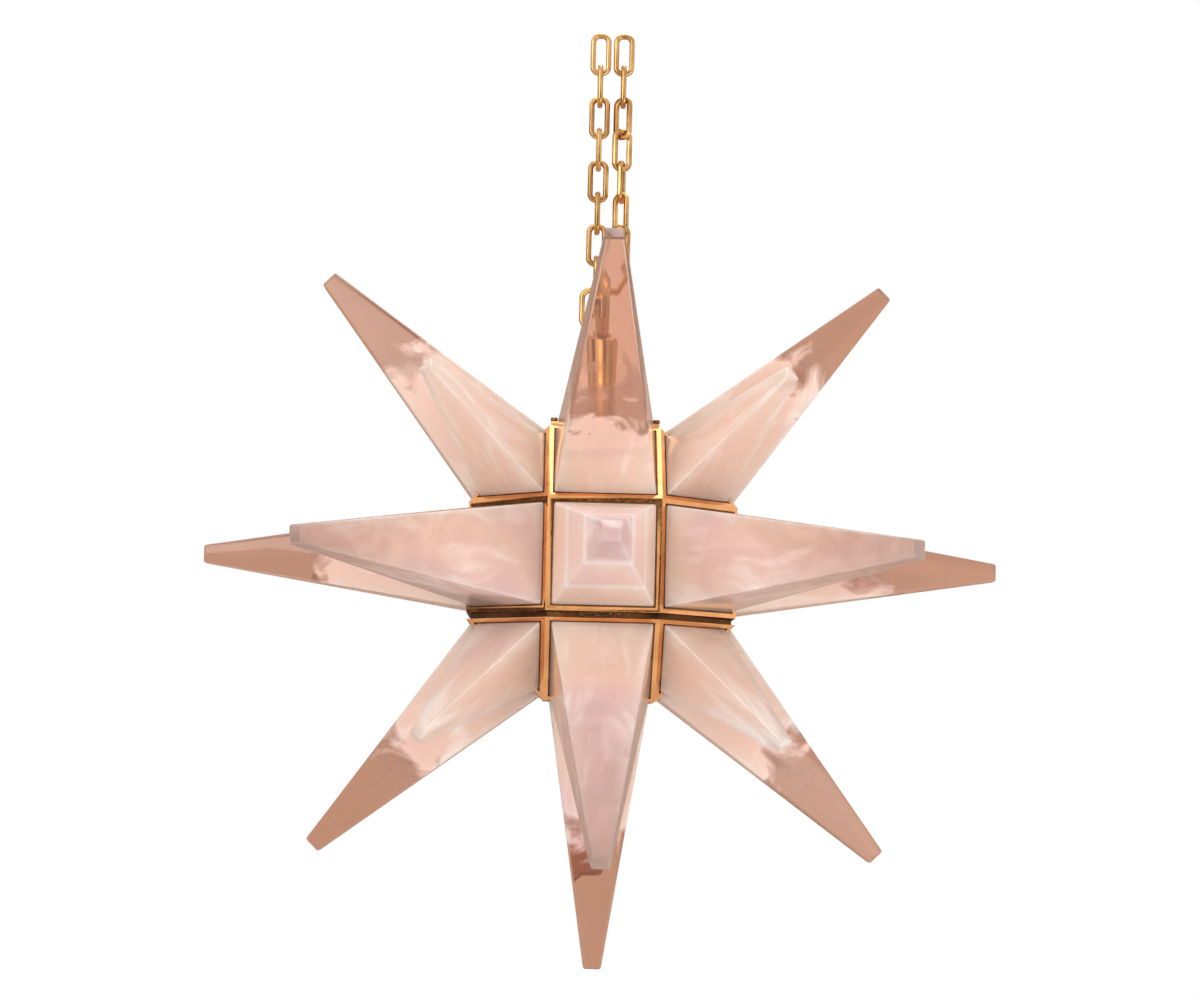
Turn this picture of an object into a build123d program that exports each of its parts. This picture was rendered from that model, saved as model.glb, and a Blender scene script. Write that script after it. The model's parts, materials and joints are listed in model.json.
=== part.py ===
# Star pendant light: a faceted brass cage with solid crystal spikes, hung on two chain strands
import os
from math import atan2, cos, degrees, pi, radians, sin, sqrt, tan

from build123d import *

os.makedirs("parts", exist_ok=True)

# Cage, millimetres
EDGE = 86.0
FACE_DIST = EDGE * (1 + sqrt(2)) / 2
CORNER_DIST = EDGE * (3 + sqrt(2)) / (2 * sqrt(3))
WALL = 8.0
SEAT_DEPTH = 5.0
LIP = 3.5
SQUARE_GUSSET = 17.0
CORNER_GUSSET = 18.0
SEAM_GAP = 5.0
SEAM_LIP = 1.4
SEAM_LIP_SET = 3.2
SEAM_LIP_PLAY = 0.8
TOP_LIP = 6.5
FACE_TURN = 45.0

# Sides of the drawn outlines; small round pieces and bores have twelve, the stem twice that
SQUARE_SIDES = 4
TRIANGLE_SIDES = 3
HEX_SIDES = 6
OCTAGON_SIDES = 8
ROUND_SIDES = 12
STEM_SIDES = 24

# The star's centre hangs this far below the hook seat
DROP = 421.0

# Crystal spikes
SPIKE_GAP = 1.2
SPIKE_REACH = 3.622 * EDGE
CORNER_REACH = 2.723 * EDGE
SPIKE_TIP = 14.0
CORNER_TIP_INRADIUS = 4.2
EDGE_CUT = 1.2
TIP_CUT = 1.2
CAP_LEAN = 45.0

# Studs that hold the spikes, drawn square
STUD_R = 2.1
STUD_FIT = 0.2
STUD_BITE = 8.0
STUD_TAIL = 2.5

# Chain links: bevelled bars with rounded ends; the right-hand strand has a half turn in it
LINK_LENGTH = 34.4
LINK_WIDTH = 16.5
LINK_BAR = 4.2
LINK_ROUND = 7.2
LINK_BEVEL = 1.1
LINK_PLAY = 0.3
LINK_LEVELS = 8
STRAND_HALF = 9.3
SQUARE_TURN = 90.0
TWISTED_TURN = 56.0
LINK_PITCH = LINK_LENGTH - 2 * LINK_BAR - LINK_PLAY

# Joining link that carries both strands, and the eye below it
JOIN_WIDTH = 44.0
JOIN_HEIGHT = 34.0
JOIN_BAR = 4.5
JOIN_ROUND = 9.0
JOIN_BEVEL = 1.2
EYE_WIDTH = 30.0
EYE_HEIGHT = 33.0
EYE_BAR = 5.0
EYE_ROUND = 13.0
EYE_BEVEL = 1.3
EYE_SHANK_R = 4.0
EYE_SHANK = 9.0

# Stem, plate and lamp cluster
PLATE_SIDE = 84.0
PLATE_THICK = 3.0
PLATE_HOLE_R = 5.2
PLATE_SCREW_AT = 39.6
PLATE_SCREW_HEAD_R = 2.75
PLATE_SCREW_HEAD_H = 3.0
PLATE_SCREW_R = 1.4
PLATE_SCREW_BITE = 5.0
STEM_R = 7.0
STEM_COLLAR_R = 13.0
STEM_COLLAR_H = 4.0
STEM_EDGE = 1.2
STEM_TAIL = 2.0
STEM_THREAD_R = 5.0
STEM_BORE_R = 3.0
INLET_R = 3.0
INLET_DROP = 18.0
INLET_BUSH_R = 4.6
INLET_BUSH_LIP = 1.6
INLET_BUSH_BORE_R = 1.8
INLET_BUSH_SHORT = 1.0
NUT_ACROSS_R = 9.0
NUT_H = 5.0
SPIDER_SIDE = 88.0
SPIDER_CORNER = 24.0
SPIDER_THICK = 4.0
SPIDER_DROP = 26.0
LAMP_AT = 27.0
HOLDER_R = 14.0
HOLDER_H = 34.0
HOLDER_CUP_R = 9.0
HOLDER_CUP_DEPTH = 24.0
BULB_CAP_R = 7.0
BULB_R = 15.5
BULB_BODY = 48.0
BULB_SHOULDER = 7.0
BULB_GAP = 1.5
BULB_CUP_PLAY = 1.0

# Hinge at the back of the seam and catch at its front
HINGE_WIDTH = 33.0
LEAF_DEEP = 6.6
LEAF_THICK = 1.5
KNUCKLE_R = 2.5
KNUCKLE_OUT = 2.7
PIN_R = 1.2
PIN_FIT = 0.1
KNUCKLE_END = 8.0
KNUCKLE_PLAY = 0.3
PIN_HEAD_R = 2.2
PIN_HEAD_H = 1.0
CATCH_WIDTH = 33.0
CATCH_DEEP = 6.0
CATCH_THICK = 1.3
CATCH_RIB_R = 1.4
CATCH_RIB_AT = 9.0
CATCH_PLAY = 0.25

# Levels worked out from the sizes above
CENTRE = Vector(0, 0, -DROP)
LOWER_CENTRE = Vector(0, 0, -DROP - SEAM_GAP)
CAGE_TOP = -DROP + FACE_DIST
SEAM_TOP = -DROP - EDGE / 2
SEAM_LOW = SEAM_TOP - SEAM_GAP
SEAM_MID = (SEAM_TOP + SEAM_LOW) / 2
PLATE_TOP = CAGE_TOP + PLATE_THICK
LAST_LINK_BOTTOM = LINK_BAR - (LINK_LEVELS - 1) * LINK_PITCH - LINK_LENGTH
JOIN_TOP = LAST_LINK_BOTTOM + LINK_BAR + LINK_PLAY + JOIN_BAR
JOIN_MID = JOIN_TOP - JOIN_HEIGHT / 2
EYE_TOP = JOIN_TOP - JOIN_HEIGHT + JOIN_BAR + LINK_PLAY + EYE_BAR
EYE_MID = EYE_TOP - EYE_HEIGHT / 2
STEM_TOP = EYE_TOP - EYE_HEIGHT
SPIDER_TOP = CAGE_TOP - SPIDER_DROP
SPIDER_LOW = SPIDER_TOP - SPIDER_THICK
STEM_END = SPIDER_LOW - NUT_H - STEM_TAIL
HOLDER_LOW = SPIDER_LOW - HOLDER_H

# Sizes of the windows and of the spikes' bases
SQUARE_WINDOW = EDGE - 2 * LIP
SQUARE_BASE = SQUARE_WINDOW - 2 * SPIKE_GAP
CORNER_WINDOW_R = 2 * (EDGE / (2 * sqrt(3)) - LIP)
CORNER_BASE_R = CORNER_WINDOW_R - 2 * SPIKE_GAP
CORNER_TIP_R = 2 * CORNER_TIP_INRADIUS
SQUARE_STUD_AT = SQUARE_WINDOW / 2 - SQUARE_GUSSET / 3
CORNER_STUD_AT = CORNER_WINDOW_R - CORNER_GUSSET / sqrt(3)

# Directions of the faces, X to the right, Y away from the viewer
EQUATOR = {
    "front": (0, -1, 0),
    "front_right": (1, -1, 0),
    "right": (1, 0, 0),
    "back_right": (1, 1, 0),
    "back": (0, 1, 0),
    "back_left": (-1, 1, 0),
    "left": (-1, 0, 0),
    "front_left": (-1, -1, 0),
}
UPPER = {
    "up_front": (0, -1, 1),
    "up_right": (1, 0, 1),
    "up_back": (0, 1, 1),
    "up_left": (-1, 0, 1),
}
LOWER = {
    "down_front": (0, -1, -1),
    "down_right": (1, 0, -1),
    "down_back": (0, 1, -1),
    "down_left": (-1, 0, -1),
    "bottom": (0, 0, -1),
}
UPPER_CORNERS = {
    "up_front_right": (1, -1, 1),
    "up_back_right": (1, 1, 1),
    "up_back_left": (-1, 1, 1),
    "up_front_left": (-1, -1, 1),
}
LOWER_CORNERS = {
    "down_front_right": (1, -1, -1),
    "down_back_right": (1, 1, -1),
    "down_back_left": (-1, 1, -1),
    "down_front_left": (-1, -1, -1),
}
UPPER_SQUARES = EQUATOR | UPPER
ALL_CORNERS = UPPER_CORNERS | LOWER_CORNERS


def face_plane(centre, direction, distance):
    """Plane of one cage face, its Y axis pointing as far up as the face allows."""
    normal = Vector(*direction).normalized()
    side = Vector(1, 0, 0)
    if abs(normal.X) + abs(normal.Y) > 0:
        side = Vector(0, 0, 1).cross(normal).normalized()
    return Plane(origin=centre + normal * distance, x_dir=side, z_dir=normal)


def cage_solid(centre, face_distance, corner_distance):
    """Solid with eighteen square faces and eight triangular ones."""
    side = 2 * face_distance
    with BuildPart() as solid:
        with Locations(centre):
            Box(side, side, side)
            Box(side, side, side, rotation=(FACE_TURN, 0, 0), mode=Mode.INTERSECT)
            Box(side, side, side, rotation=(0, FACE_TURN, 0), mode=Mode.INTERSECT)
            Box(side, side, side, rotation=(0, 0, FACE_TURN), mode=Mode.INTERSECT)
        for direction in ALL_CORNERS.values():
            split(bisect_by=face_plane(centre, direction, corner_distance), keep=Keep.BOTTOM)
    return solid.part


def corner_turn(direction):
    """Turn that points a triangle's odd corner up on the upper faces and down on the lower ones."""
    return 90 if direction[2] > 0 else -90


def square_studs(plane, radius):
    """Squares at the four stud places of a square face."""
    with BuildSketch(plane) as studs:
        with GridLocations(2 * SQUARE_STUD_AT, 2 * SQUARE_STUD_AT, 2, 2):
            RegularPolygon(radius, SQUARE_SIDES, rotation=FACE_TURN)
    return studs.sketch


def corner_studs(plane, radius, turn):
    """Squares at the three stud places of a triangular face."""
    with BuildSketch(plane) as studs:
        with PolarLocations(CORNER_STUD_AT, TRIANGLE_SIDES, start_angle=turn):
            RegularPolygon(radius, SQUARE_SIDES, rotation=FACE_TURN)
    return studs.sketch


def cut_square_window(plane):
    """Square window with a seat for the spike and a gusset in each corner."""
    with BuildSketch(plane) as seat:
        Rectangle(SQUARE_WINDOW, SQUARE_WINDOW)
    extrude(seat.sketch, amount=-SEAT_DEPTH, mode=Mode.SUBTRACT)
    with BuildSketch(plane.offset(-SEAT_DEPTH)) as opening:
        Rectangle(SQUARE_WINDOW, SQUARE_WINDOW)
        chamfer(opening.vertices(), SQUARE_GUSSET)
    extrude(opening.sketch, amount=-WALL, mode=Mode.SUBTRACT)
    extrude(square_studs(plane, STUD_R + STUD_FIT), amount=-2 * WALL, mode=Mode.SUBTRACT)


def cut_corner_window(plane, turn):
    """Triangular window with a seat for the spike and a gusset in each corner."""
    with BuildSketch(plane) as seat:
        RegularPolygon(CORNER_WINDOW_R, TRIANGLE_SIDES, rotation=turn)
    extrude(seat.sketch, amount=-SEAT_DEPTH, mode=Mode.SUBTRACT)
    with BuildSketch(plane.offset(-SEAT_DEPTH)) as opening:
        RegularPolygon(CORNER_WINDOW_R, TRIANGLE_SIDES, rotation=turn)
        chamfer(opening.vertices(), CORNER_GUSSET)
    extrude(opening.sketch, amount=-WALL, mode=Mode.SUBTRACT)
    extrude(corner_studs(plane, STUD_R + STUD_FIT, turn), amount=-2 * WALL, mode=Mode.SUBTRACT)


def keep(part, name):
    """Name one piece and write it out."""
    part.label = name
    export_step(part, f"parts/{name}.step")


# Upper cage: equatorial band and crown in one casting, flat along the seam
upper_block = cage_solid(CENTRE, FACE_DIST, CORNER_DIST)
upper_hollow = cage_solid(CENTRE, FACE_DIST - WALL, CORNER_DIST - WALL)
with BuildPart() as upper_frame:
    add(upper_block)
    split(bisect_by=Plane.XY.offset(SEAM_TOP), keep=Keep.TOP)
    add(upper_hollow, mode=Mode.SUBTRACT)
    for direction in UPPER_SQUARES.values():
        cut_square_window(face_plane(CENTRE, direction, FACE_DIST))
    for direction in UPPER_CORNERS.values():
        cut_corner_window(face_plane(CENTRE, direction, CORNER_DIST), corner_turn(direction))
    with BuildSketch(Plane.XY.offset(CAGE_TOP)):
        Rectangle(EDGE - 2 * TOP_LIP, EDGE - 2 * TOP_LIP)
    extrude(amount=-2 * WALL, mode=Mode.SUBTRACT)
    with BuildSketch(Plane.XY.offset(CAGE_TOP)):
        with GridLocations(2 * PLATE_SCREW_AT, 2 * PLATE_SCREW_AT, 2, 2):
            RegularPolygon(PLATE_SCREW_R + STUD_FIT, HEX_SIDES)
    extrude(amount=-PLATE_SCREW_BITE - STUD_FIT, mode=Mode.SUBTRACT)
keep(upper_frame.part, "upper_frame")

# Lower cage: the cap that opens downward for the lamps, with a lip that closes the seam from inside
lower_block = cage_solid(LOWER_CENTRE, FACE_DIST, CORNER_DIST)
lower_hollow = cage_solid(LOWER_CENTRE, FACE_DIST - WALL, CORNER_DIST - WALL)
LIP_OUTER_R = (FACE_DIST - SEAM_LIP_SET) / cos(pi / OCTAGON_SIDES)
LIP_INNER_R = LIP_OUTER_R - SEAM_LIP / cos(pi / OCTAGON_SIDES)
LIP_BREAK = HINGE_WIDTH + 2 * SEAM_LIP_PLAY
with BuildPart() as lower_frame:
    add(lower_block)
    split(bisect_by=Plane.XY.offset(SEAM_LOW), keep=Keep.BOTTOM)
    add(lower_hollow, mode=Mode.SUBTRACT)
    for direction in LOWER.values():
        cut_square_window(face_plane(LOWER_CENTRE, direction, FACE_DIST))
    for direction in LOWER_CORNERS.values():
        cut_corner_window(face_plane(LOWER_CENTRE, direction, CORNER_DIST), corner_turn(direction))
    with BuildSketch(Plane.XY.offset(SEAM_LOW)):
        RegularPolygon(LIP_OUTER_R, OCTAGON_SIDES, rotation=FACE_TURN / 2)
        RegularPolygon(LIP_INNER_R, OCTAGON_SIDES, rotation=FACE_TURN / 2, mode=Mode.SUBTRACT)
        Rectangle(LIP_BREAK, 2 * LIP_OUTER_R, mode=Mode.SUBTRACT)
    extrude(amount=SEAM_GAP - SEAM_LIP_PLAY)
keep(lower_frame.part, "lower_frame")


# Crystal spikes, each with a straight foot, a long taper, cut edges and a polished cap
def tilted_plane(plane, angle, distance, height, lean):
    """Plane that faces outward at one angle round the spike's axis and leans back by some degrees."""
    out = Vector(cos(radians(angle)), sin(radians(angle)), 0)
    point = plane.from_local_coords(out * distance + Vector(0, 0, height))
    tilt = out * cos(radians(lean)) + Vector(0, 0, sin(radians(lean)))
    return Plane(origin=point, z_dir=plane.from_local_coords(tilt) - plane.origin)


def spike_body(plane, sides, turn, base_r, tip_r, length):
    """Prism with cut corners, trimmed by its leaning sides, its leaning edges and the cap's bevels."""
    half_corner = radians(90 - 180 / sides)
    inner = sin(half_corner)
    cut = EDGE_CUT * cos(half_corner)
    taper = length - TIP_CUT
    side_lean = degrees(atan2((base_r - tip_r) * inner, taper))
    edge_lean = degrees(atan2(base_r - tip_r, taper))
    with BuildPart() as body:
        with BuildSketch(plane.offset(-SEAT_DEPTH)) as foot:
            RegularPolygon(base_r, sides, rotation=turn)
            chamfer(foot.vertices(), EDGE_CUT)
        extrude(amount=SEAT_DEPTH + length)
        for index in range(sides):
            edge_angle = turn + index * 360 / sides
            side_angle = edge_angle + 180 / sides
            side = tilted_plane(plane, side_angle, base_r * inner, 0, side_lean)
            edge = tilted_plane(plane, edge_angle, base_r - cut, 0, edge_lean)
            cap_bevel = tilted_plane(plane, side_angle, tip_r * inner, taper, CAP_LEAN)
            split(bisect_by=side, keep=Keep.BOTTOM)
            split(bisect_by=edge, keep=Keep.BOTTOM)
            split(bisect_by=cap_bevel, keep=Keep.BOTTOM)
    return body.part


def square_spike(centre, direction, name):
    """Solid four-sided spike for a square face, drilled for its studs."""
    plane = face_plane(centre, direction, FACE_DIST)
    base_r = SQUARE_BASE / sqrt(2)
    tip_r = SPIKE_TIP / sqrt(2)
    body = spike_body(plane, SQUARE_SIDES, FACE_TURN, base_r, tip_r, SPIKE_REACH - FACE_DIST)
    with BuildPart() as spike:
        add(body)
        holes = square_studs(plane.offset(-SEAT_DEPTH), STUD_R + STUD_FIT)
        extrude(holes, amount=STUD_BITE + STUD_FIT, mode=Mode.SUBTRACT)
    keep(spike.part, name)


def corner_spike(centre, direction, name):
    """Solid three-sided spike for a triangular face, drilled for its studs."""
    plane = face_plane(centre, direction, CORNER_DIST)
    turn = corner_turn(direction)
    length = CORNER_REACH - CORNER_DIST
    body = spike_body(plane, TRIANGLE_SIDES, turn, CORNER_BASE_R, CORNER_TIP_R, length)
    with BuildPart() as spike:
        add(body)
        holes = corner_studs(plane.offset(-SEAT_DEPTH), STUD_R + STUD_FIT, turn)
        extrude(holes, amount=STUD_BITE + STUD_FIT, mode=Mode.SUBTRACT)
    keep(spike.part, name)


for name, direction in UPPER_SQUARES.items():
    square_spike(CENTRE, direction, f"spike_{name}")
for name, direction in LOWER.items():
    square_spike(LOWER_CENTRE, direction, f"spike_{name}")
for name, direction in UPPER_CORNERS.items():
    corner_spike(CENTRE, direction, f"corner_{name}")
for name, direction in LOWER_CORNERS.items():
    corner_spike(LOWER_CENTRE, direction, f"corner_{name}")


# Studs through the gussets into the spikes' feet, their ends inside the cage
def stud_group(centre, squares, corners, name):
    """All the studs of one cage half."""
    length = STUD_TAIL + WALL - SEAT_DEPTH + STUD_BITE
    with BuildPart() as studs:
        for direction in squares.values():
            inner = face_plane(centre, direction, FACE_DIST - WALL - STUD_TAIL)
            extrude(square_studs(inner, STUD_R), amount=length)
        for direction in corners.values():
            inner = face_plane(centre, direction, CORNER_DIST - WALL - STUD_TAIL)
            extrude(corner_studs(inner, STUD_R, corner_turn(direction)), amount=length)
    keep(studs.part, name)


stud_group(CENTRE, UPPER_SQUARES, UPPER_CORNERS, "upper_studs")
stud_group(LOWER_CENTRE, LOWER, LOWER_CORNERS, "lower_studs")


# Chain: two strands of bevelled links
def round_corners(sketch, radius):
    """Round the corners of a rectangle by three flats each that touch an arc."""
    chamfer(sketch.vertices(), radius * (2 - sqrt(2)))
    chamfer(sketch.vertices(), radius * (tan(pi / 8) - tan(pi / 16)))


def bar_loop(plane, width, height, bar, radius, bevel):
    """Closed loop of bevelled bar, built around the middle of a plane."""
    with BuildPart() as loop:
        with BuildSketch(plane) as outline:
            Rectangle(width, height)
            round_corners(outline, radius)
        extrude(amount=bar / 2, both=True)
        with BuildSketch(plane) as hole:
            Rectangle(width - 2 * bar, height - 2 * bar)
            round_corners(hole, radius - bar)
        extrude(amount=bar / 2, both=True, mode=Mode.SUBTRACT)
        flats = loop.faces().filter_by(Plane(origin=(0, 0, 0), z_dir=plane.z_dir))
        chamfer(flats.edges(), bevel)
    return loop.part


def link_plane(x, z, turn):
    """Upright plane that faces the viewer, or is turned from there by some degrees."""
    side = Vector(cos(radians(turn)), sin(radians(turn)), 0)
    return Plane(origin=(x, 0, z), x_dir=side, z_dir=side.cross(Vector(0, 0, 1)))


def chain_link(x, level, turn):
    """One link of a strand."""
    plane = link_plane(x, LINK_BAR - LINK_LENGTH / 2 - level * LINK_PITCH, turn)
    return bar_loop(plane, LINK_WIDTH, LINK_LENGTH, LINK_BAR, LINK_ROUND, LINK_BEVEL)


def twisted_turn(level):
    """Turn of a right-hand link: square to the joints at both ends, twisted in between."""
    if level in (0, 1, LINK_LEVELS - 1):
        return level * SQUARE_TURN
    return SQUARE_TURN + (level - 1) * TWISTED_TURN


for level in range(LINK_LEVELS):
    left_link = chain_link(-STRAND_HALF, level, level * SQUARE_TURN)
    right_link = chain_link(STRAND_HALF, level, twisted_turn(level))
    with BuildPart() as links:
        add(left_link)
        add(right_link)
    keep(links.part, f"chain_links_{level + 1}")

# Joining link across the view: both strands end on its top bar
join_plane = link_plane(0, JOIN_MID, 0)
joining_link = bar_loop(join_plane, JOIN_WIDTH, JOIN_HEIGHT, JOIN_BAR, JOIN_ROUND, JOIN_BEVEL)
keep(joining_link, "joining_link")

# Hanger eye along the view, with a shank that screws into the stem
eye_plane = link_plane(0, EYE_MID, SQUARE_TURN)
eye_loop = bar_loop(eye_plane, EYE_WIDTH, EYE_HEIGHT, EYE_BAR, EYE_ROUND, EYE_BEVEL)
with BuildPart() as hanger_eye:
    add(eye_loop)
    with BuildSketch(Plane.XY.offset(STEM_TOP + EYE_BAR / 2)):
        RegularPolygon(EYE_SHANK_R, ROUND_SIDES)
    extrude(amount=-EYE_SHANK - EYE_BAR / 2)
keep(hanger_eye.part, "hanger_eye")

# Stem: collar on the plate, threaded tail through plate and spider, bored for the wires
with BuildPart() as hanger_stem:
    with BuildSketch(Plane.XY.offset(PLATE_TOP)):
        RegularPolygon(STEM_R, STEM_SIDES)
    extrude(amount=STEM_TOP - PLATE_TOP)
    chamfer(hanger_stem.faces().sort_by(Axis.Z)[-1].edges(), STEM_EDGE)
    with BuildSketch(Plane.XY.offset(PLATE_TOP)):
        RegularPolygon(STEM_COLLAR_R, STEM_SIDES)
    extrude(amount=STEM_COLLAR_H)
    with BuildSketch(Plane.XY.offset(STEM_END)):
        RegularPolygon(STEM_THREAD_R, ROUND_SIDES)
    extrude(amount=PLATE_TOP - STEM_END)
    with BuildSketch(Plane.XY.offset(STEM_END)):
        RegularPolygon(STEM_BORE_R, ROUND_SIDES)
    extrude(amount=STEM_TOP - INLET_DROP + INLET_R - STEM_END, mode=Mode.SUBTRACT)
    with BuildSketch(Plane.XY.offset(STEM_TOP)):
        RegularPolygon(EYE_SHANK_R + STUD_FIT, ROUND_SIDES)
    extrude(amount=-EYE_SHANK - STUD_FIT, mode=Mode.SUBTRACT)
    with BuildSketch(Plane(origin=(0, 0, STEM_TOP - INLET_DROP), x_dir=(1, 0, 0), z_dir=(0, 1, 0))):
        RegularPolygon(INLET_R, ROUND_SIDES)
    extrude(amount=2 * STEM_R, mode=Mode.SUBTRACT)
keep(hanger_stem.part, "hanger_stem")

# Bush in the stem's wire inlet, at the back
with BuildPart() as inlet_bush:
    inlet = Plane(origin=(0, STEM_R, STEM_TOP - INLET_DROP), x_dir=(1, 0, 0), z_dir=(0, 1, 0))
    with BuildSketch(inlet):
        RegularPolygon(INLET_BUSH_R, ROUND_SIDES)
    extrude(amount=INLET_BUSH_LIP)
    with BuildSketch(inlet):
        RegularPolygon(INLET_R - STUD_FIT / 2, ROUND_SIDES)
    extrude(amount=-STEM_R + STEM_BORE_R + INLET_BUSH_SHORT)
    with BuildSketch(inlet.offset(INLET_BUSH_LIP)):
        RegularPolygon(INLET_BUSH_BORE_R, ROUND_SIDES)
    extrude(amount=-2 * STEM_R, mode=Mode.SUBTRACT)
keep(inlet_bush.part, "inlet_bush")

# Plate over the open top of the cage
with BuildPart() as top_plate:
    with BuildSketch(Plane.XY.offset(CAGE_TOP)):
        Rectangle(PLATE_SIDE, PLATE_SIDE)
        RegularPolygon(PLATE_HOLE_R, ROUND_SIDES, mode=Mode.SUBTRACT)
        with GridLocations(2 * PLATE_SCREW_AT, 2 * PLATE_SCREW_AT, 2, 2):
            RegularPolygon(PLATE_SCREW_R + STUD_FIT, HEX_SIDES, mode=Mode.SUBTRACT)
    extrude(amount=PLATE_THICK)
keep(top_plate.part, "top_plate")

# Four screws at the plate's corners
with BuildPart() as plate_screws:
    with BuildSketch(Plane.XY.offset(PLATE_TOP)):
        with GridLocations(2 * PLATE_SCREW_AT, 2 * PLATE_SCREW_AT, 2, 2):
            RegularPolygon(PLATE_SCREW_HEAD_R, ROUND_SIDES)
    extrude(amount=PLATE_SCREW_HEAD_H)
    with BuildSketch(Plane.XY.offset(PLATE_TOP)):
        with GridLocations(2 * PLATE_SCREW_AT, 2 * PLATE_SCREW_AT, 2, 2):
            RegularPolygon(PLATE_SCREW_R, HEX_SIDES)
    extrude(amount=-PLATE_THICK - PLATE_SCREW_BITE)
keep(plate_screws.part, "plate_screws")

# Lock nuts under the plate and under the spider
with BuildPart() as lock_nuts:
    for seat in (CAGE_TOP, SPIDER_LOW):
        with BuildSketch(Plane.XY.offset(seat)):
            RegularPolygon(NUT_ACROSS_R, HEX_SIDES)
            RegularPolygon(STEM_THREAD_R + STUD_FIT, ROUND_SIDES, mode=Mode.SUBTRACT)
        extrude(amount=-NUT_H)
keep(lock_nuts.part, "lock_nuts")

# Spacer tube that keeps the spider down from the plate
with BuildPart() as spacer_tube:
    with BuildSketch(Plane.XY.offset(SPIDER_TOP)):
        RegularPolygon(STEM_R, ROUND_SIDES)
        RegularPolygon(STEM_THREAD_R + STUD_FIT, ROUND_SIDES, mode=Mode.SUBTRACT)
    extrude(amount=SPIDER_DROP - NUT_H)
keep(spacer_tube.part, "spacer_tube")

# Spider plate that carries the lampholders
with BuildPart() as lamp_spider:
    with BuildSketch(Plane.XY.offset(SPIDER_LOW)) as spider_outline:
        Rectangle(SPIDER_SIDE, SPIDER_SIDE)
        chamfer(spider_outline.vertices(), SPIDER_CORNER)
        RegularPolygon(STEM_THREAD_R + STUD_FIT, ROUND_SIDES, mode=Mode.SUBTRACT)
    extrude(amount=SPIDER_THICK)
keep(lamp_spider.part, "lamp_spider")

# Lampholders and lamps, hanging from the spider
LAMP_PLACES = {
    "front_right": (LAMP_AT, -LAMP_AT),
    "back_right": (LAMP_AT, LAMP_AT),
    "back_left": (-LAMP_AT, LAMP_AT),
    "front_left": (-LAMP_AT, -LAMP_AT),
}


def lampholder(x, y, name):
    """Eight-sided holder with a round cup for the lamp's cap."""
    with BuildPart() as holder:
        with BuildSketch(Plane(origin=(x, y, SPIDER_LOW))):
            RegularPolygon(HOLDER_R, OCTAGON_SIDES)
        extrude(amount=-HOLDER_H)
        with BuildSketch(Plane(origin=(x, y, HOLDER_LOW))):
            RegularPolygon(HOLDER_CUP_R, ROUND_SIDES)
        extrude(amount=HOLDER_CUP_DEPTH, mode=Mode.SUBTRACT)
    keep(holder.part, name)


def lamp(x, y, name):
    """Lamp with a cap in the holder and a body with blunt ends."""
    with BuildPart() as bulb:
        with BuildSketch(Plane(origin=(x, y, HOLDER_LOW - BULB_GAP))):
            RegularPolygon(BULB_R, ROUND_SIDES)
        extrude(amount=-BULB_BODY)
        ends = bulb.faces().filter_by(Plane.XY)
        chamfer(ends.edges(), BULB_SHOULDER)
        with BuildSketch(Plane(origin=(x, y, HOLDER_LOW - BULB_GAP))):
            RegularPolygon(BULB_CAP_R, ROUND_SIDES)
        extrude(amount=HOLDER_CUP_DEPTH + BULB_GAP - BULB_CUP_PLAY)
    keep(bulb.part, name)


for name, (x, y) in LAMP_PLACES.items():
    lampholder(x, y, f"lampholder_{name}")
    lamp(x, y, f"lamp_{name}")

# Hinge at the back of the seam: a leaf under the band, a leaf on the cap, one pin
PIN_Y = FACE_DIST + KNUCKLE_OUT
KNUCKLE_MIDDLE = HINGE_WIDTH - 2 * KNUCKLE_END - 2 * KNUCKLE_PLAY


def knuckle_plane(x):
    """Plane across the hinge pin."""
    return Plane(origin=(x, PIN_Y, SEAM_MID), x_dir=(0, 1, 0), z_dir=(1, 0, 0))


def add_knuckle(x, length, leaf_z):
    """One rolled end of a leaf, with the web that joins it to the leaf."""
    with BuildSketch(knuckle_plane(x)) as roll:
        RegularPolygon(KNUCKLE_R, ROUND_SIDES)
    extrude(roll.sketch, amount=length)
    with Locations((x + length / 2, PIN_Y - KNUCKLE_OUT / 2, leaf_z)):
        Box(length, KNUCKLE_OUT, LEAF_THICK)


LEAF_UP = SEAM_TOP - LEAF_THICK / 2
LEAF_DOWN = SEAM_LOW + LEAF_THICK / 2
LEAF_Y = FACE_DIST - LEAF_DEEP / 2

with BuildPart() as hinge_leaf_upper:
    with Locations((0, LEAF_Y, LEAF_UP)):
        Box(HINGE_WIDTH, LEAF_DEEP, LEAF_THICK)
    add_knuckle(-HINGE_WIDTH / 2, KNUCKLE_END, LEAF_UP)
    add_knuckle(HINGE_WIDTH / 2 - KNUCKLE_END, KNUCKLE_END, LEAF_UP)
    with BuildSketch(knuckle_plane(-HINGE_WIDTH)):
        RegularPolygon(PIN_R + PIN_FIT, ROUND_SIDES)
    extrude(amount=2 * HINGE_WIDTH, mode=Mode.SUBTRACT)
keep(hinge_leaf_upper.part, "hinge_leaf_upper")

with BuildPart() as hinge_leaf_lower:
    with Locations((0, LEAF_Y, LEAF_DOWN)):
        Box(HINGE_WIDTH, LEAF_DEEP, LEAF_THICK)
    add_knuckle(-KNUCKLE_MIDDLE / 2, KNUCKLE_MIDDLE, LEAF_DOWN)
    with BuildSketch(knuckle_plane(-HINGE_WIDTH)):
        RegularPolygon(PIN_R + PIN_FIT, ROUND_SIDES)
    extrude(amount=2 * HINGE_WIDTH, mode=Mode.SUBTRACT)
keep(hinge_leaf_lower.part, "hinge_leaf_lower")

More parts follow.
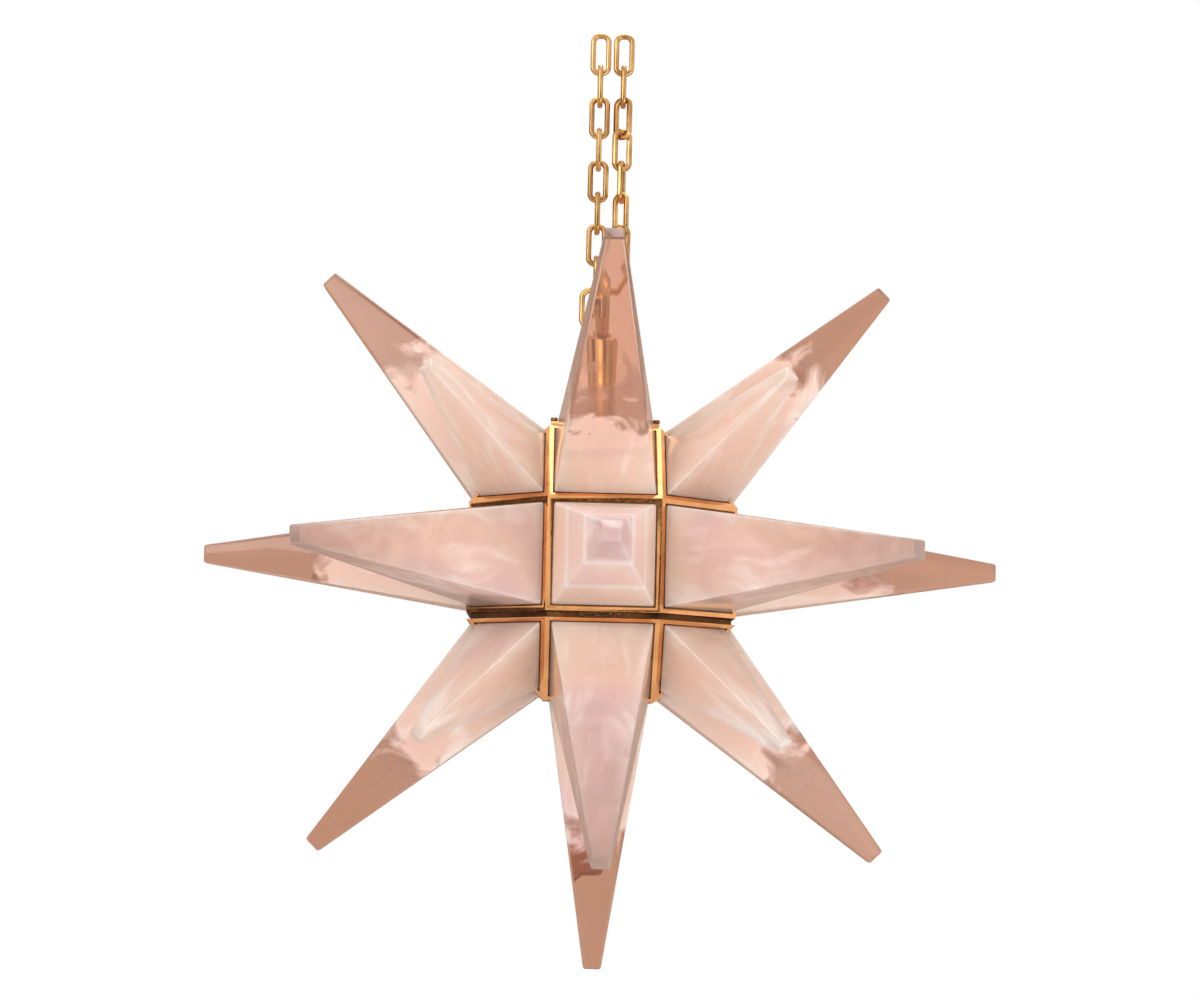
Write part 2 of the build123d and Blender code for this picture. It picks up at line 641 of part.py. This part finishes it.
with BuildPart() as hinge_pin:
    with BuildSketch(knuckle_plane(-HINGE_WIDTH / 2)):
        RegularPolygon(PIN_R, ROUND_SIDES)
    extrude(amount=HINGE_WIDTH)
    with BuildSketch(knuckle_plane(-HINGE_WIDTH / 2)):
        RegularPolygon(PIN_HEAD_R, ROUND_SIDES)
    extrude(amount=-PIN_HEAD_H)
    with BuildSketch(knuckle_plane(HINGE_WIDTH / 2)):
        RegularPolygon(PIN_HEAD_R, ROUND_SIDES)
    extrude(amount=PIN_HEAD_H)
keep(hinge_pin.part, "hinge_pin")

# Snap catch at the front of the seam: keeper under the band, ribbed tongue on the cap
CATCH_Y = -FACE_DIST + CATCH_DEEP / 2
KEEPER_LOW = SEAM_TOP - CATCH_THICK
TONGUE_TOP = SEAM_LOW + CATCH_THICK


def rib_plane(x, z):
    """Plane across one rib of the catch."""
    return Plane(origin=(x, -FACE_DIST, z), x_dir=(1, 0, 0), z_dir=(0, 1, 0))


with BuildPart() as catch_tongue:
    with Locations((0, CATCH_Y, SEAM_LOW + CATCH_THICK / 2)):
        Box(CATCH_WIDTH, CATCH_DEEP, CATCH_THICK)
    for x in (-CATCH_RIB_AT, CATCH_RIB_AT):
        with BuildSketch(rib_plane(x, TONGUE_TOP)):
            RegularPolygon(CATCH_RIB_R, OCTAGON_SIDES)
        extrude(amount=CATCH_DEEP)
    split(bisect_by=Plane.XY.offset(SEAM_LOW), keep=Keep.TOP)
keep(catch_tongue.part, "catch_tongue")

with BuildPart() as catch_keeper:
    with Locations((0, CATCH_Y, SEAM_TOP - CATCH_THICK / 2)):
        Box(CATCH_WIDTH, CATCH_DEEP, CATCH_THICK)
    for x in (-CATCH_RIB_AT, CATCH_RIB_AT):
        for side in (-1, 1):
            with BuildSketch(rib_plane(x + side * (2 * CATCH_RIB_R + CATCH_PLAY), KEEPER_LOW)):
                RegularPolygon(CATCH_RIB_R, OCTAGON_SIDES)
            extrude(amount=CATCH_DEEP)
    split(bisect_by=Plane.XY.offset(SEAM_TOP), keep=Keep.BOTTOM)
keep(catch_keeper.part, "catch_keeper")
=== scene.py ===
# Star pendant light: crystal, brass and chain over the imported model
import json
import math

import bmesh
import bpy
from mathutils import Matrix, Vector

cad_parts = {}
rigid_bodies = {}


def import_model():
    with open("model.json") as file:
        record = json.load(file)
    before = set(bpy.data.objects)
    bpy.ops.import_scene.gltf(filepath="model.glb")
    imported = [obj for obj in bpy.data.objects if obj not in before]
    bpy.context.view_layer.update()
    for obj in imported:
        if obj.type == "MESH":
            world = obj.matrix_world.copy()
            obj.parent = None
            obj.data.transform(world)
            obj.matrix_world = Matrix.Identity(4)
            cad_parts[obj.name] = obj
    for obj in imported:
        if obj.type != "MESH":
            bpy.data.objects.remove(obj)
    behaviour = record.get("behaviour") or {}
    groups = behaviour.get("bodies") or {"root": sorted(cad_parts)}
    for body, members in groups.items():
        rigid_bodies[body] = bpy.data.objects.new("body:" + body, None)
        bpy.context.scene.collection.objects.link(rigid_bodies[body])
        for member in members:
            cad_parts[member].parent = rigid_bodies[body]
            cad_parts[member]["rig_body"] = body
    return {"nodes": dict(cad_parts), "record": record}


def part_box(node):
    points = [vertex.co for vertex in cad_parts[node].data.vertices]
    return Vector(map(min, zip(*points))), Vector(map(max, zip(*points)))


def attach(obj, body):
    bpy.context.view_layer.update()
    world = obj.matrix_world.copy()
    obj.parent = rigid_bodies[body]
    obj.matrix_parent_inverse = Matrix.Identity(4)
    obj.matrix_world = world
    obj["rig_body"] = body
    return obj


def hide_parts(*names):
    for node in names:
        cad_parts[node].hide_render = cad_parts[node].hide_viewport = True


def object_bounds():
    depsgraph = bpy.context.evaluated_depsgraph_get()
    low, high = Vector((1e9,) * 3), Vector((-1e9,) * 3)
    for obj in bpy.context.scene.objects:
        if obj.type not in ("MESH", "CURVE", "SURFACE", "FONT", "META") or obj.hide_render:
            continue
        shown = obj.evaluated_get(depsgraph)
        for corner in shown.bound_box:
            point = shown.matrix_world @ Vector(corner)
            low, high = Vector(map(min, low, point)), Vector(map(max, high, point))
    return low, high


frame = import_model()
cad_low, cad_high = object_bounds()

NODES = frame["nodes"]
SLOTS = {part["node"]: part["material_slot"] for part in frame["record"]["subparts"]}

# Star's centre and reach, metres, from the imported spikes
LEFT_LOW, LEFT_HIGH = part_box("spike_left")
RIGHT_LOW, RIGHT_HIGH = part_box("spike_right")
STAR_CENTRE = (LEFT_LOW + LEFT_HIGH + RIGHT_LOW + RIGHT_HIGH) / 4
SPIKE_FOOT = RIGHT_LOW.x
SPIKE_REACH = RIGHT_HIGH.x

# Seam between the two halves of the cage, and the lower half's own centre
SEAM_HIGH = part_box("upper_frame")[0].z
SEAM_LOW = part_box("catch_tongue")[0].z
LOWER_CENTRE = STAR_CENTRE + Vector((0.0, 0.0, SEAM_LOW - SEAM_HIGH))

# Camera fitted to the photograph: small turns of the star in degrees, distance, lens and shift
STAR_TURN = Vector((-4.076, 1.360, 1.264))
CAMERA_DISTANCE = 2.0378
SENSOR_WIDTH = 36.0
CAMERA_LENS = 77.53
CAMERA_SHIFT = (-0.0008, 0.0532)

# Edge roundings: width in metres and segments
EDGE_ROUND = {
    "crystal": (0.0005, 2),
    "cage_brass": (0.0005, 2),
    "chain_brass": (0.0005, 2),
    "small_brass": (0.0002, 1),
    "dark_screw": (0.0003, 2),
    "steel": (0.0003, 1),
    "holder": (0.0008, 2),
    "lamp": (0.0030, 4),
    "bush": (0.0003, 2),
}
BEVEL_ANGLE = math.radians(12)
FLAT_ANGLE = math.radians(0.4)
WELD = 1e-6


# Shader helpers
def new_material(name):
    """Material with one Principled shader and its output."""
    material = bpy.data.materials.new(name)
    material.use_nodes = True
    tree = material.node_tree
    return material, tree, tree.nodes["Principled BSDF"]


def noise(tree, vector, scale, detail, distortion):
    """Noise texture over a place in metres."""
    node = tree.nodes.new("ShaderNodeTexNoise")
    node.inputs["Scale"].default_value = scale
    node.inputs["Detail"].default_value = detail
    node.inputs["Distortion"].default_value = distortion
    tree.links.new(vector, node.inputs["Vector"])
    return node.outputs["Fac"]


def ramp(tree, value, stops):
    """Colour ramp from (position, colour) stops."""
    node = tree.nodes.new("ShaderNodeValToRGB")
    elements = node.color_ramp.elements
    while len(elements) < len(stops):
        elements.new(0.5)
    for element, (position, colour) in zip(elements, stops):
        element.position = position
        element.color = (*colour, 1.0)
    tree.links.new(value, node.inputs["Fac"])
    return node.outputs["Color"]


def remap(tree, value, from_low, from_high, to_low, to_high):
    """Value moved from one range to another and clamped."""
    node = tree.nodes.new("ShaderNodeMapRange")
    tree.links.new(value, node.inputs["Value"])
    node.inputs["From Min"].default_value = from_low
    node.inputs["From Max"].default_value = from_high
    node.inputs["To Min"].default_value = to_low
    node.inputs["To Max"].default_value = to_high
    return node.outputs["Result"]


def arithmetic(tree, operation, first, second):
    """One operation on two sockets, or on a socket and a number."""
    node = tree.nodes.new("ShaderNodeMath")
    node.operation = operation
    for socket, value in zip(node.inputs, (first, second)):
        if isinstance(value, (int, float)):
            socket.default_value = value
        else:
            tree.links.new(value, socket)
    return node.outputs["Value"]


def mix_colour(tree, factor, first, second):
    """Two colours mixed by a socket."""
    node = tree.nodes.new("ShaderNodeMix")
    node.data_type = "RGBA"
    tree.links.new(factor, node.inputs["Factor"])
    for socket, value in ((node.inputs["A"], first), (node.inputs["B"], second)):
        if isinstance(value, tuple):
            socket.default_value = (*value, 1.0)
        else:
            tree.links.new(value, socket)
    return node.outputs["Result"]


def object_place(tree):
    """Place on the object, in metres."""
    return tree.nodes.new("ShaderNodeTexCoord").outputs["Object"]


def bump(tree, shader, height, strength, distance):
    """Bump from a height socket into a shader."""
    node = tree.nodes.new("ShaderNodeBump")
    node.inputs["Strength"].default_value = strength
    node.inputs["Distance"].default_value = distance
    tree.links.new(height, node.inputs["Height"])
    tree.links.new(node.outputs["Normal"], shader.inputs["Normal"])


# Noise as scale, detail and distortion
RAGGED_NOISE = (24.0, 4.0, 1.8)
TINT_NOISE = (7.0, 2.0, 0.8)
STREAK_NOISE = (38.0, 5.0, 0.7)
CLOUD_NOISE = (38.0, 5.0, 0.4)
GRAIN_NOISE = (420.0, 3.0, 0.2)
MOTTLE_NOISE = (160.0, 4.0, 0.1)

# Crystal: milky and veiled at the foot, plain tinted glass towards the tip; the milk at the foot is paler,
# painted light that offsets the shade the neighbouring spikes cast there
FOOT_LIGHT_PAINT = (1.0, 0.78, 0.66)
MILK = (0.92, 0.65, 0.54)
LILAC = (0.80, 0.58, 0.58)
AMBER = (0.54, 0.27, 0.17)
HONEY = (0.80, 0.53, 0.41)
SMOKE = (0.62, 0.43, 0.36)
VEIL = (0.97, 0.85, 0.79)
PAINTED_LIGHT_SHARE = 0.35
LILAC_SPAN = 0.22
RAGGED_LOW = 0.25
RAGGED_HIGH = 0.75
RAGGED_SWING = 0.12
REFLECTION_COVER = 0.95
REFLECTION_COVER_ON_LILAC = 0.70
WISP_FROM = 0.50
WISP_TO = 0.72
WISP_IN_MILK = 0.85
WISP_IN_GLASS = 0.04
WISP_AT_FOOT = 0.35
WISP_CLOUDING = 0.12
CRYSTAL_IOR = 1.45
REFLECTION_ROUGH = 0.38
MILK_ROUGH = 0.12
CLEAR_ROUGH = 0.03
GLOW = 0.5
GLOW_RADIUS = (1.0, 0.75, 0.65)
GLOW_DEPTH = 0.03
STREAK_ACROSS = 0.2
STREAK_ALONG = 0.3


def streaked_place(tree, place):
    """Place on the star stretched along its spikes, so that a pattern runs along them."""
    offset = tree.nodes.new("ShaderNodeVectorMath")
    offset.operation = "SUBTRACT"
    offset.inputs[1].default_value = STAR_CENTRE
    tree.links.new(place, offset.inputs[0])
    direction = tree.nodes.new("ShaderNodeVectorMath")
    direction.operation = "NORMALIZE"
    tree.links.new(offset.outputs["Vector"], direction.inputs[0])
    across = tree.nodes.new("ShaderNodeVectorMath")
    across.operation = "SCALE"
    across.inputs["Scale"].default_value = STREAK_ACROSS
    tree.links.new(direction.outputs["Vector"], across.inputs[0])
    stretched = tree.nodes.new("ShaderNodeVectorMath")
    stretched.operation = "MULTIPLY_ADD"
    stretched.inputs[1].default_value = (STREAK_ALONG, STREAK_ALONG, STREAK_ALONG)
    tree.links.new(offset.outputs["Vector"], stretched.inputs[0])
    tree.links.new(across.outputs["Vector"], stretched.inputs[2])
    return stretched.outputs["Vector"]


def share_along(tree, place):
    """Zero at a long spike's foot and one at its tip."""
    reach = tree.nodes.new("ShaderNodeVectorMath")
    reach.operation = "DISTANCE"
    reach.inputs[1].default_value = STAR_CENTRE
    tree.links.new(place, reach.inputs[0])
    return remap(tree, reach.outputs["Value"], SPIKE_FOOT, SPIKE_REACH, 0.0, 1.0)


def crystal_material(name, tip, clear_from, clear_to, glass_low, glass_high, lilac_from, reflection_bands=None):
    """Crystal whose milk gives way to the tip's colour between two shares of a long spike's length."""
    material, tree, shader = new_material(name)
    place = object_place(tree)
    along = share_along(tree, place)
    unevenness = noise(tree, place, *RAGGED_NOISE)
    ragged = remap(tree, unevenness, RAGGED_LOW, RAGGED_HIGH, -RAGGED_SWING, RAGGED_SWING)
    ragged_along = arithmetic(tree, "ADD", along, ragged)
    tint = remap(tree, noise(tree, place, *TINT_NOISE), lilac_from, lilac_from + LILAC_SPAN, 0.0, 1.0)
    # Painted light: the milk turns paler towards the foot, standing in for light where neighbouring spikes
    # shade it
    painted_light_milk = mix_colour(tree, remap(tree, along, 0.0, PAINTED_LIGHT_SHARE, 0.0, 1.0), FOOT_LIGHT_PAINT, MILK)
    milky = mix_colour(tree, tint, painted_light_milk, LILAC)
    milk_rough = MILK_ROUGH
    if reflection_bands is not None:
        # Painted reflection: bands along the spike, laid over the milk, stand in for the internal
        # reflections of its cut edges
        cover = remap(tree, tint, 0.0, 1.0, REFLECTION_COVER, REFLECTION_COVER_ON_LILAC)
        milky = mix_colour(tree, cover, milky, ramp(tree, along, reflection_bands))
        milk_rough = REFLECTION_ROUGH
    clear = remap(tree, ragged_along, clear_from, clear_to, 0.0, 1.0)
    body = mix_colour(tree, clear, milky, tip)
    streaks = noise(tree, streaked_place(tree, place), *STREAK_NOISE)
    wisps = remap(tree, streaks, WISP_FROM, WISP_TO, 0.0, 1.0)
    fading = remap(tree, clear, 0.0, 1.0, WISP_IN_MILK, WISP_IN_GLASS)
    gathering = remap(tree, ragged_along, 0.0, clear_from, WISP_AT_FOOT, 1.0)
    wisps = arithmetic(tree, "MULTIPLY", wisps, arithmetic(tree, "MULTIPLY", fading, gathering))
    tree.links.new(mix_colour(tree, wisps, body, VEIL), shader.inputs["Base Color"])
    glass = remap(tree, clear, 0.0, 1.0, glass_low, glass_high)
    clouding = arithmetic(tree, "MULTIPLY", wisps, WISP_CLOUDING)
    glass = arithmetic(tree, "SUBTRACT", glass, clouding)
    tree.links.new(glass, shader.inputs["Transmission Weight"])
    tree.links.new(remap(tree, clear, 0.0, 1.0, milk_rough, CLEAR_ROUGH), shader.inputs["Roughness"])
    shader.inputs["IOR"].default_value = CRYSTAL_IOR
    shader.inputs["Subsurface Weight"].default_value = GLOW
    shader.inputs["Subsurface Radius"].default_value = GLOW_RADIUS
    shader.inputs["Subsurface Scale"].default_value = GLOW_DEPTH
    return material


# Metals and moulded pieces
CLOUD_LOW = 0.35
CLOUD_HIGH = 0.65
SKIN_LOW = 0.3
SKIN_HIGH = 0.7
SKIN_DEPTH = 0.0002
MOULDED_BUMP = 0.1


def metal_material(name, deep, bright, rough_low, rough_high, bump_strength):
    """Polished metal with cloudy tone, fine scratches and uneven gloss."""
    material, tree, shader = new_material(name)
    place = object_place(tree)
    cloud = noise(tree, place, *CLOUD_NOISE)
    tone = ramp(tree, cloud, [(CLOUD_LOW, deep), (CLOUD_HIGH, bright)])
    tree.links.new(tone, shader.inputs["Base Color"])
    shader.inputs["Metallic"].default_value = 1.0
    grain = noise(tree, place, *GRAIN_NOISE)
    gloss = remap(tree, grain, SKIN_LOW, SKIN_HIGH, rough_low, rough_high)
    tree.links.new(gloss, shader.inputs["Roughness"])
    bump(tree, shader, grain, bump_strength, SKIN_DEPTH)
    return material


def moulded_material(name, low, high, rough_low, rough_high):
    """Moulded piece with a faint mottle and an uneven skin."""
    material, tree, shader = new_material(name)
    mottle = noise(tree, object_place(tree), *MOTTLE_NOISE)
    tone = ramp(tree, mottle, [(SKIN_LOW, low), (SKIN_HIGH, high)])
    tree.links.new(tone, shader.inputs["Base Color"])
    gloss = remap(tree, mottle, SKIN_LOW, SKIN_HIGH, rough_low, rough_high)
    tree.links.new(gloss, shader.inputs["Roughness"])
    bump(tree, shader, mottle, MOULDED_BUMP, SKIN_DEPTH)
    return material


# Painted internal reflections of the cut edges, as pale and dark bands from foot to tip, on the spikes that
# are seen end on
PAINTED_REFLECTION_BANDS = [
    (0.00, (0.97, 0.70, 0.59)),
    (0.08, (1.00, 0.86, 0.78)),
    (0.12, (0.97, 0.70, 0.60)),
    (0.30, (0.97, 0.70, 0.60)),
    (0.34, (1.00, 0.88, 0.82)),
    (0.39, (0.93, 0.65, 0.57)),
    (0.64, (0.90, 0.63, 0.57)),
    (0.69, (0.99, 0.82, 0.77)),
    (0.76, (0.72, 0.48, 0.47)),
    (1.00, (0.58, 0.38, 0.38)),
]

# Crystal: tip, where it clears from and to, glass at foot and tip, where lilac starts
# Metal and moulded: two tones, two roughnesses and, for metal, the bump's strength
MATERIALS = {
    "crystal": crystal_material("crystal", AMBER, 0.50, 0.60, 0.25, 0.90, 0.55),
    "half": crystal_material("crystal_half", HONEY, 0.32, 0.38, 0.25, 0.90, 0.55),
    "veiled": crystal_material("crystal_veiled", SMOKE, 0.40, 1.10, 0.22, 0.55, 0.48),
    "short": crystal_material("crystal_short", SMOKE, 0.60, 0.95, 0.18, 0.60, 0.55),
    "reflection_banded": crystal_material("crystal_painted_reflections", SMOKE, 1.10, 1.20, 0.08, 0.60, 0.50, PAINTED_REFLECTION_BANDS),
    "cage_brass": metal_material("cage_brass", (0.72, 0.31, 0.11), (0.92, 0.43, 0.17), 0.10, 0.24, 0.06),
    "chain_brass": metal_material("chain_brass", (0.52, 0.27, 0.09), (0.82, 0.50, 0.20), 0.12, 0.26, 0.08),
    "small_brass": metal_material("small_brass", (0.50, 0.27, 0.10), (0.70, 0.42, 0.18), 0.22, 0.38, 0.10),
    # Painted shade: near-black brass for the ring in the gap around each crystal's foot
    "painted_gap_shade": metal_material("painted_gap_shade", (0.10, 0.045, 0.02), (0.24, 0.11, 0.05), 0.5, 0.7, 0.12),
    # Painted shade: near-black brass for the faces inside the seam
    "seam": metal_material("seam_painted_shade", (0.05, 0.02, 0.008), (0.16, 0.065, 0.022), 0.35, 0.55, 0.12),
    "dark_screw": metal_material("dark_screw", (0.10, 0.045, 0.02), (0.22, 0.10, 0.04), 0.25, 0.40, 0.10),
    "steel": metal_material("steel", (0.46, 0.46, 0.48), (0.62, 0.62, 0.64), 0.25, 0.42, 0.15),
    "holder": moulded_material("holder", (0.74, 0.72, 0.67), (0.84, 0.82, 0.77), 0.45, 0.60),
    "lamp": moulded_material("lamp", (0.86, 0.83, 0.76), (0.93, 0.90, 0.84), 0.12, 0.20),
    "bush": moulded_material("bush", (0.015, 0.015, 0.016), (0.03, 0.03, 0.032), 0.55, 0.70),
}

# Spikes whose milk runs to the tip, those seen end on, which wear painted reflections, and those clear for
# most of their length
VEILED = ("spike_front_left", "spike_front_right", "spike_down_front", "spike_back_left", "spike_back_right")
REFLECTION_BANDED_SPIKES = ("spike_front", "spike_back")
HALF_CLEAR = ("spike_up_front", "spike_up_back")


def finish_of(node):
    """Name of the material that a node wears."""
    if node in VEILED:
        return "veiled"
    if node in REFLECTION_BANDED_SPIKES:
        return "reflection_banded"
    if node in HALF_CLEAR:
        return "half"
    if node.startswith("corner_"):
        return "short"
    return SLOTS[node]


# Every piece: the solid's own faces, welded, with rounded edges
def dress(node):
    """Rounded copy of one CAD node, in its place and on its body."""
    slot = SLOTS[node]
    width, segments = EDGE_ROUND[slot]
    source = NODES[node]
    mesh = source.data.copy()
    work = bmesh.new()
    work.from_mesh(mesh)
    bmesh.ops.remove_doubles(work, verts=work.verts, dist=WELD)
    bmesh.ops.dissolve_limit(work, angle_limit=FLAT_ANGLE, verts=work.verts, edges=work.edges)
    mesh.materials.clear()
    mesh.materials.append(MATERIALS[finish_of(node)])
    work.to_mesh(mesh)
    work.free()
    piece = bpy.data.objects.new(f"{node}_piece", mesh)
    bpy.context.scene.collection.objects.link(piece)
    rounding = piece.modifiers.new("Rounding", "BEVEL")
    rounding.width = width
    rounding.segments = segments
    rounding.limit_method = "ANGLE"
    rounding.angle_limit = BEVEL_ANGLE
    rounding.harden_normals = True
    mesh.shade_smooth()
    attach(piece, source["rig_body"])
    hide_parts(node)
    return piece


PIECES = {node_name: dress(node_name) for node_name in sorted(NODES)}

# Painted shade: a thin dark ring that fills the gap between a crystal's foot and its window, where shade
# falls
PAINTED_GAP_SHADE_THICK = 0.0010
FOOT_TOLERANCE = 0.0003
UPRIGHT_TOLERANCE = 0.01
SQUARE_FOOT_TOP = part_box("upper_frame")[1].x
CORNER_FOOT_TOP = SQUARE_FOOT_TOP * (3 + math.sqrt(2)) / (math.sqrt(3) * (1 + math.sqrt(2)))


def add_painted_gap_shade(node):
    """Thin dark ring of painted shade around one crystal's foot, made from the foot's own sides."""
    source = NODES[node]
    centre = LOWER_CENTRE if "down" in node or "bottom" in node else STAR_CENTRE
    foot_top = CORNER_FOOT_TOP if node.startswith("corner_") else SQUARE_FOOT_TOP
    low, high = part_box(node)
    axis = ((low + high) / 2 - centre).normalized()
    mesh = source.data.copy()
    mesh.materials.clear()
    mesh.materials.append(MATERIALS["painted_gap_shade"])
    work = bmesh.new()
    work.from_mesh(mesh)
    bmesh.ops.remove_doubles(work, verts=work.verts, dist=WELD)
    others = []
    for face in work.faces:
        heights = [(vertex.co - centre).dot(axis) for vertex in face.verts]
        upright = abs(face.normal.dot(axis)) < UPRIGHT_TOLERANCE
        if not upright or max(heights) > foot_top + FOOT_TOLERANCE:
            others.append(face)
    bmesh.ops.delete(work, geom=others, context="FACES")
    work.to_mesh(mesh)
    work.free()
    piece = bpy.data.objects.new(f"bedding_{node}", mesh)
    bpy.context.scene.collection.objects.link(piece)
    thickness = piece.modifiers.new("Thickness", "SOLIDIFY")
    thickness.thickness = PAINTED_GAP_SHADE_THICK
    thickness.offset = 1.0
    thickness.use_even_offset = True
    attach(piece, source["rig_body"])


for node_name in sorted(NODES):
    if SLOTS[node_name] == "crystal":
        add_painted_gap_shade(node_name)

# Painted shade on the brass inside the seam: the lip, the faces beside it and the catch are dark where shade
# falls between the two halves
SEAM_MARGIN = 0.0002
SEAM_NODES = ("upper_frame", "lower_frame", "catch_keeper", "catch_tongue")


def paint_seam_shade(node):
    """Painted shade, as dark brass, on the faces of one piece that lie between the two halves of the cage.
    """
    mesh = PIECES[node].data
    mesh.materials.append(MATERIALS["seam"])
    dark = len(mesh.materials) - 1
    for face in mesh.polygons:
        if SEAM_LOW - SEAM_MARGIN < face.center.z < SEAM_HIGH + SEAM_MARGIN:
            face.material_index = dark


for node_name in SEAM_NODES:
    paint_seam_shade(node_name)


# Flat stage pieces: the floor and the cards
MATT = 0.9


def flat_mesh(name, half_width, half_height, level, colour):
    """One matt rectangle at a level, with a plain colour."""
    low_left = (-half_width, -half_height, level)
    low_right = (half_width, -half_height, level)
    top_right = (half_width, half_height, level)
    top_left = (-half_width, half_height, level)
    mesh = bpy.data.meshes.new(name)
    mesh.from_pydata([low_left, low_right, top_right, top_left], [], [(0, 1, 2, 3)])
    material, _, shader = new_material(name)
    shader.inputs["Base Color"].default_value = colour
    shader.inputs["Roughness"].default_value = MATT
    mesh.materials.append(material)
    return mesh


# Floor, well below the hanging star
FLOOR_HALF = 6.0
FLOOR_DROP = 1.2
FLOOR_COLOUR = (0.82, 0.82, 0.82, 1.0)
floor_mesh = flat_mesh("floor", FLOOR_HALF, FLOOR_HALF, cad_low.z - FLOOR_DROP, FLOOR_COLOUR)
floor = bpy.data.objects.new("floor", floor_mesh)
bpy.context.scene.collection.objects.link(floor)

# White surroundings for what is seen, softer ones for what lights the star
AMBIENT = 0.85
WHITE = (1.0, 1.0, 1.0, 1.0)


def background_rays(tree):
    """One where a ray comes straight from the camera, a mirror or glass."""
    path = tree.nodes.new("ShaderNodeLightPath")
    direct = arithmetic(tree, "MAXIMUM", path.outputs["Is Camera Ray"], path.outputs["Is Glossy Ray"])
    return arithmetic(tree, "MAXIMUM", direct, path.outputs["Is Transmission Ray"])


world = bpy.data.worlds.new("studio")
bpy.context.scene.world = world
world.use_nodes = True
world_tree = world.node_tree
world_background = world_tree.nodes["Background"]
world_background.inputs["Color"].default_value = WHITE
seen = background_rays(world_tree)
world_tree.links.new(remap(world_tree, seen, 0.0, 1.0, AMBIENT, 1.0), world_background.inputs["Strength"])


def area_lamp(name, place, size, power):
    """Square soft light aimed at the star's centre."""
    light = bpy.data.lights.new(name, "AREA")
    light.size = size
    light.energy = power
    lamp = bpy.data.objects.new(name, light)
    lamp.location = place
    aim = STAR_CENTRE - Vector(place)
    lamp.rotation_mode = "QUATERNION"
    lamp.rotation_quaternion = aim.to_track_quat("-Z", "Y")
    bpy.context.scene.collection.objects.link(lamp)


area_lamp("key", place=(-1.3, -2.1, 0.2), size=1.4, power=16.0)
area_lamp("fill", place=(1.4, -1.9, -1.3), size=1.6, power=18.0)
area_lamp("top", place=(0.2, 0.6, 1.4), size=1.4, power=14.0)

# Cards that only reflections see, as flags and a warm wall in a studio
DARK_CARD = (0.05, 0.025, 0.012, 1.0)
WARM_CARD = (0.48, 0.32, 0.24, 1.0)


def card(name, place, width, height, colour):
    """Flat card aimed at the star, hidden from every ray but reflections."""
    panel = bpy.data.objects.new(name, flat_mesh(name, width / 2, height / 2, 0.0, colour))
    panel.location = place
    panel.rotation_mode = "QUATERNION"
    panel.rotation_quaternion = (STAR_CENTRE - Vector(place)).to_track_quat("Z", "Y")
    panel.visible_camera = False
    panel.visible_diffuse = False
    panel.visible_transmission = False
    panel.visible_shadow = False
    bpy.context.scene.collection.objects.link(panel)


card("card_left", place=(-2.6, -0.6, -0.3), width=1.2, height=2.4, colour=DARK_CARD)
card("card_right", place=(2.4, -1.4, -0.3), width=0.7, height=2.4, colour=DARK_CARD)
card("card_front", place=(0.5, -3.2, -0.1), width=0.8, height=2.2, colour=DARK_CARD)
card("card_back", place=(0.0, 2.6, -0.4), width=5.0, height=3.6, colour=WARM_CARD)

# Camera at the photograph's angle
turn = Matrix.Rotation(math.radians(STAR_TURN.length), 3, STAR_TURN.normalized()).transposed()
camera_data = bpy.data.cameras.new("camera")
camera_data.sensor_width = SENSOR_WIDTH
camera_data.sensor_fit = "HORIZONTAL"
camera_data.lens = CAMERA_LENS
camera_data.shift_x, camera_data.shift_y = CAMERA_SHIFT
camera = bpy.data.objects.new("camera", camera_data)
right, ahead, up = turn.col[0], turn.col[1], turn.col[2]
pose = Matrix((right, up, -ahead)).transposed().to_4x4()
pose.translation = STAR_CENTRE - ahead * CAMERA_DISTANCE
camera.matrix_world = pose
bpy.context.scene.collection.objects.link(camera)
bpy.context.scene.camera = camera
bpy.context.scene.view_settings.view_transform = "Standard"
